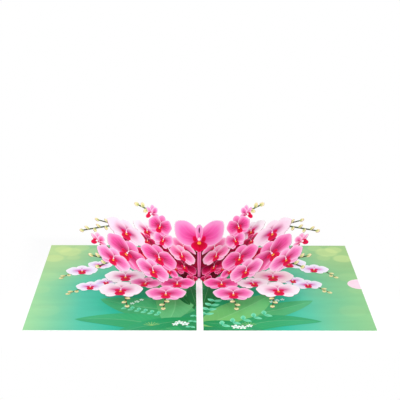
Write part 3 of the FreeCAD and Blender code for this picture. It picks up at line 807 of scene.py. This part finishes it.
def addLeaf(sheet, root, tip, halfWidth, bow, tone, level, name="leaf"):
    bm = sheet["bm"]
    run = Vector(tip) - Vector(root)
    side = Vector((-run.y, run.x)).normalized()
    made = bmesh.ops.create_grid(bm, x_segments=leafForm["steps"], y_segments=leafForm["rows"], size=1.0)
    spots = {}
    for vert in made["verts"]:
        along, across = vert.co.x, vert.co.y
        share = 0.5 + 0.5 * along
        wide = halfWidth * sin(pi * share ** 0.85) ** 0.75 if 0 < share < 1 else 0.0
        spot = Vector(root) + run * share + side * (across * wide + bow * sin(pi * share))
        spots[vert] = (along, across)
        vert[sheet["tone"]] = tone
        vert[sheet["edge"]] = abs(across)
        vert.co = (spot.x, spot.y, level)
    for face in inkFaces(sheet, made["verts"], name):
        for loop in face.loops:
            loop[sheet["uv"]].uv = spots[loop.vert]
    bmesh.ops.remove_doubles(bm, verts=made["verts"], dist=0.001)


pagePrints = {
    "clear": 0.03, "step": 0.02, "thickness": 0.015,
    # leaves of each page from back to front: root and tip as distance out and back, half width, bow, tone
    "leaves": {
        -1: [
            ((6, 62), (60, 88), 9, -6, 0.45), ((5, 36), (66, 66), 13, 5, 0.62),
            ((4, -10), (19, 34), 7, 3, 0.10), ((4, -60), (91, -35), 20, -6, 0.66),
            ((5, -57), (9, -14), 2.6, 0, 0.0), ((10, -54), (16, -16), 2.2, 0, 0.02),
            ((33, 6), (29, -88), 18, -9, 0.90), ((12, -108), (110, -78), 15, 12, 0.52),
            ((1, -78), (74, -106), 10, 4, 0.30), ((3, -50), (9, -4), 6, 0, 0.0),
            ((9, -48), (23, -12), 4, 0, 0.0),
        ],
        1: [
            ((6, 62), (60, 88), 9, -6, 0.45), ((5, 36), (66, 66), 13, 5, 0.62),
            ((4, -10), (19, 34), 7, 3, 0.10), ((4, -60), (22, -4), 7, 4, 0.05),
            ((24, -76), (104, -38), 14, -3, 0.74),
            ((5, -57), (9, -14), 2.4, 0, 0.0), ((2, -92), (67, -24), 19, -2, 1.0),
            ((18, -108), (107, -82), 13, 13, 0.45), ((1, -84), (60, -108), 9, 4, 0.30),
            ((3, -50), (9, -4), 6, 0, 0.0), ((9, -48), (23, -12), 4, 0, 0.0),
        ],
    },
    # twigs of small leaves: start, end, pairs, leaf length, half leaf width
    "twigs": {
        -1: [((36, -67), (66, -54), 6, 5.6, 1.9), ((4, -70), (8, -92), 3, 5.0, 1.6)],
        1: [((19, -89), (57, -68), 5, 8.5, 2.3), ((5, -68), (13, -40), 4, 8.0, 2.4)],
    },
    "blossoms": {
        -1: [(13, -87, 4.0), (18, -84.5, 3.8), (21.5, -88, 3.0),
             (57, -41, 2.6), (53, -37, 2.2), (61, -45, 2.4)],
        1: [(31, -93, 4.2), (37, -94, 3.8), (43, -91, 3.0),
            (66, -41, 2.4), (71, -38, 2.6), (76, -36, 2.2)],
    },
    "tuft": {"foot": (42, -91), "blades": 7, "length": 7.5, "from": 20, "step": 23, "width": 0.5},
    "twigSpread": 58, "blossomPetals": 5, "blossomTurn": 18, "blossomHalfWidth": 0.27,
    "orchids": {
        -1: [((114, 30), 14.4, 6), ((98, 45), 11.5, -14), ((102.5, -8), 12.6, 2), ((88.5, 2.5), 10.2, 10)],
        1: [((89, 49), 17.0, 4), ((113, 35), 13.4, -8), ((103, -3), 12.8, 2), ((89.5, 7), 10.6, 8)],
    },
    "budSprigs": {
        -1: [((124, 26), (131, 15), 3), ((112, -13), (120, -22), 3)],
        1: [((124, 30), (131, 18), 3), ((112, -8), (120, -18), 3), ((95, 88), (101, 75), 2)],
    },
}


def makePagePrint(side):
    sheet = startSheet()
    level = pageTop + pagePrints["clear"]
    step = pagePrints["step"]

    def out(point):
        return (side * point[0], point[1])

    leaves = pagePrints["leaves"][side]
    for order, (root, tip, halfWidth, bow, tone) in enumerate(leaves):
        addLeaf(sheet, out(root), out(tip), halfWidth, bow * side, tone, level + order * step)
    top = level + len(leaves) * step
    for start, end, pairs, leafLength, halfLeaf in pagePrints["twigs"][side]:
        run = Vector(end) - Vector(start)
        heading = degrees(atan2(run.y, run.x))
        for number in range(pairs):
            foot = Vector(start) + run * (number / (pairs - 1))
            for hand in (-1, 1):
                aim = radians(heading + hand * pagePrints["twigSpread"])
                tip = foot + Vector((cos(aim), sin(aim))) * leafLength
                addLeaf(sheet, out(foot), out(tip), halfLeaf, 0.0, 0.0, top, "mint")
    for x, y, radius in pagePrints["blossoms"][side]:
        for number in range(pagePrints["blossomPetals"]):
            turn = 360 / pagePrints["blossomPetals"] * number + pagePrints["blossomTurn"]
            addPetal(sheet, petalPlace(flowerPlace(out((x, y)), radius, 0), (0, 0), turn),
                     "blossom", 1.0, pagePrints["blossomHalfWidth"], top + step * (1 + 0.1 * number))
    tuft = pagePrints["tuft"]
    for number in range(tuft["blades"]):
        aim = radians(tuft["from"] + tuft["step"] * number)
        tip = Vector(tuft["foot"]) + Vector((cos(aim), sin(aim))) * tuft["length"]
        addStrip(sheet, out(tuft["foot"]), out(tip), tuft["width"], top, "thread", steps=3)
    for start, end, buds in pagePrints["budSprigs"][side]:
        addSprig(sheet, out(start), out(end), buds, top)
    for order, (centreSpot, radius, turn) in enumerate(pagePrints["orchids"][side]):
        addOrchid(sheet, out(centreSpot), radius, turn, "lilac", top + step * (1 + order))
    bm = sheet["bm"]
    for face in bm.faces:
        face.normal_update()
    bmesh.ops.reverse_faces(bm, faces=[face for face in bm.faces if face.normal.z < 0])
    borders = (((side * pageInner, 0, 0), (-side, 0, 0)), ((side * pageOuter, 0, 0), (side, 0, 0)),
               ((0, pageBack, 0), (0, 1, 0)), ((0, -pageBack, 0), (0, -1, 0)))
    for point, normal in borders:
        bmesh.ops.bisect_plane(bm, geom=bm.verts[:] + bm.edges[:] + bm.faces[:], dist=1e-5,
                               plane_co=point, plane_no=normal, clear_outer=True)
    placeSheet(sheet, Matrix.Identity(4))
    return finishSheet(sheet, handed("pagePrint", side), thickness=pagePrints["thickness"])


for side in (-1, 1):
    makePagePrint(side)


# Finishes of the card's plain pieces

def dress(material, *names):
    for name in names:
        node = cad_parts[name]
        node.data.materials.clear()
        node.data.materials.append(material)


dress(pageMaterial(), "page_left", "page_right")
dress(coverMaterial(), "cover")
dress(grainedMaterial("notePaper", (244, 206, 224), (252, 226, 238)), "note_card")
dress(grainedMaterial("tapeFilm", (232, 236, 238), (248, 250, 250), 0.3), "tape_left", "tape_right")
plain = [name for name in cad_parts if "spacer" in name or "leg" in name]
dress(grainedMaterial("plainCard", (240, 224, 232), (252, 240, 246)), *plain)
print("CAD pieces dressed")


# Floor, light and camera

stage = {
    "size": 6.0, "drop": 0.00003, "fadeFrom": 0.001, "fadeTo": 0.035, "worldLight": 0.62,
    "paint": (0.94, 0.94, 0.945, 1.0),
}


def makeFloor():
    bm = bmesh.new()
    bmesh.ops.create_grid(bm, x_segments=1, y_segments=1, size=stage["size"])
    bmesh.ops.translate(bm, vec=(0, 0, -stage["drop"]), verts=bm.verts[:])
    mesh = bpy.data.meshes.new("floor")
    bm.to_mesh(mesh)
    bm.free()
    floor = bpy.data.objects.new("floor", mesh)
    bpy.context.scene.collection.objects.link(floor)
    material, tree, shader = startMaterial("floorPaint", 0.8, 0.1)
    shader.inputs["Base Color"].default_value = stage["paint"]
    spot = addNode(tree, "ShaderNodeSeparateXYZ",
                   {0: addNode(tree, "ShaderNodeTexCoord").outputs["Object"]})
    past = [calc(tree, "SUBTRACT", calc(tree, "ABSOLUTE", spot.outputs[axis]), cadBox[1][number])
            for number, axis in enumerate("XY")]
    fade = ease(tree, calc(tree, "MAXIMUM", *past), stage["fadeFrom"], stage["fadeTo"])
    share = calc(tree, "MULTIPLY", fade, addNode(tree, "ShaderNodeLightPath").outputs["Is Camera Ray"])
    glow = addNode(tree, "ShaderNodeEmission", {"Color": (1, 1, 1, 1), "Strength": 1.0})
    mix = addNode(tree, "ShaderNodeMixShader", {0: share, 1: shader.outputs[0], 2: glow.outputs[0]})
    tree.links.new(mix.outputs[0], tree.nodes["Material Output"].inputs["Surface"])
    mesh.materials.append(material)


def makeWorld():
    world = bpy.data.worlds.new("softRoom")
    bpy.context.scene.world = world
    world.use_nodes = True
    tree = world.node_tree
    light = addNode(tree, "ShaderNodeLightPath")
    strength = ease(tree, light.outputs["Is Camera Ray"], 0.0, 1.0, stage["worldLight"], 1.0)
    background = tree.nodes["Background"]
    background.inputs["Color"].default_value = (1, 1, 1, 1)
    tree.links.new(strength, background.inputs["Strength"])


softBoxes = {  # place and aim in metres, size, watts, whether it casts shadows
    "keyLight": ((-0.55, -0.95, 1.15), (0, 0, 0.02), 0.7, 4.5, True),
    "fillLight": ((0.55, -0.75, 1.25), (0, 0, 0.02), 0.9, 12.2, False),
}


def makeLights():
    for name, (spot, aim, size, watts, shadows) in softBoxes.items():
        data = bpy.data.lights.new(name, "AREA")
        data.use_shadow = shadows
        data.size = size
        data.energy = watts
        lamp = bpy.data.objects.new(name, data)
        lamp.location = spot
        lamp.rotation_euler = (Vector(aim) - Vector(spot)).to_track_quat("-Z", "Y").to_euler()
        bpy.context.scene.collection.objects.link(lamp)


viewpoint = {"place": (-9.27, -911.3, 397.8), "down": 18.925, "turn": 0.602, "roll": 0.35, "lens": 93.94}


def makeCamera():
    data = bpy.data.cameras.new("camera")
    data.lens = viewpoint["lens"]
    data.sensor_width = 36.0
    camera = bpy.data.objects.new("camera", data)
    bpy.context.scene.collection.objects.link(camera)
    aim = (Matrix.Rotation(radians(-viewpoint["turn"]), 4, "Z")
           @ Matrix.Rotation(radians(90 - viewpoint["down"]), 4, "X")
           @ Matrix.Rotation(radians(viewpoint["roll"]), 4, "Z"))
    camera.matrix_world = Matrix.Translation(Vector(viewpoint["place"]) * mm) @ aim
    bpy.context.scene.camera = camera


makeFloor()
makeWorld()
makeLights()
makeCamera()
bpy.context.scene.view_settings.view_transform = "Standard"
print("stage, lights and camera ready")
